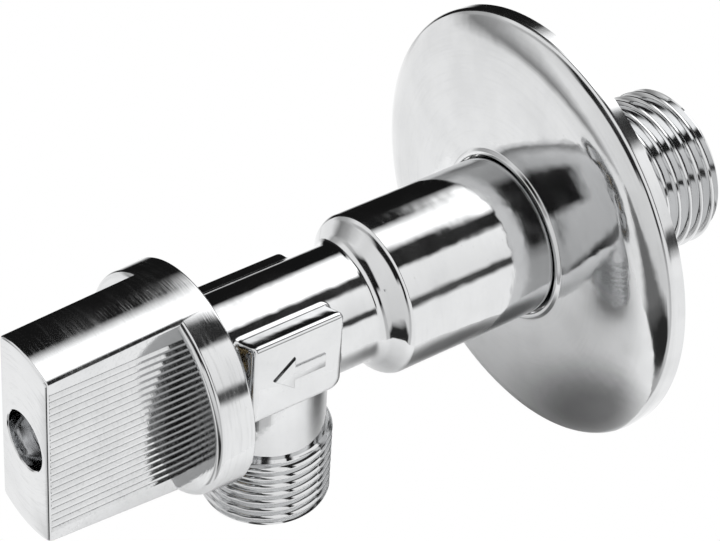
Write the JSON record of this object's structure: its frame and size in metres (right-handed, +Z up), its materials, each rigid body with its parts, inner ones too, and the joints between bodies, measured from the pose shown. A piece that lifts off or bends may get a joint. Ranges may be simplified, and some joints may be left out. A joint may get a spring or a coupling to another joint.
{
  "type": "angle stop valve",
  "caption": "Chromed quarter-turn angle stop valve with a flat-sided knob on the inlet axis, a downward threaded outlet and a sliding wall rosette.",
  "frame": {"origin": "on the inlet thread's axis, in the plane of the finished wall that the rosette's rim rests on", "axes": "+Y along the inlet axis into the wall, -Y towards the knob, -Z along the outlet, +Z up"},
  "size_m": [0.057, 0.0975, 0.057],
  "materials": {
    "chrome": "polished chrome plate on brass, zinc and sheet",
    "ball_chrome": "hard chrome on a lapped brass ball",
    "brass": "machined brass",
    "steel": "zinc-plated steel",
    "ptfe": "white PTFE",
    "epdm": "black EPDM"
  },
  "bodies": {
    "valve": {"valve_body": "chrome", "bonnet": "brass", "bonnet_o_ring": "epdm", "stop_pin": "steel", "front_bearing_ring": "ptfe", "rear_bearing_ring": "ptfe", "outlet_seat": "ptfe", "seat_o_ring": "epdm", "seat_retainer": "brass", "thrust_washer": "ptfe"},
    "knob": {"handle": "chrome", "handle_screw": "steel", "screw_washer": "steel", "stem": "brass", "stop_washer": "steel", "stem_o_ring_inner": "epdm", "stem_o_ring_outer": "epdm"},
    "ball": {"ball": "ball_chrome"},
    "grip_ring": {"rosette_grip_ring": "epdm"},
    "rosette": {"rosette": "chrome"}
  },
  "joints": [
    {"name": "handle_turn", "type": "hinge", "parent": "valve", "child": "knob", "pos_m": [0, -0.0413, 0], "axis": [0, 1, 0], "range_deg": [0, 90]},
    {"name": "ball_turn", "type": "hinge", "parent": "valve", "child": "ball", "pos_m": [0, -0.0413, 0], "axis": [0, 1, 0], "range_deg": [0, 90]},
    {"name": "rosette_slide", "type": "slide", "parent": "valve", "child": "grip_ring", "axis": [0, -1, 0], "range_m": [0, 0.018]},
    {"name": "rosette_spin", "type": "hinge", "parent": "grip_ring", "child": "rosette", "pos_m": [0, -0.0042, 0], "axis": [0, 1, 0], "continuous": true}
  ],
  "couplings": [
    {"joint": "ball_turn", "follows": "handle_turn", "ratio": 1}
  ]
}
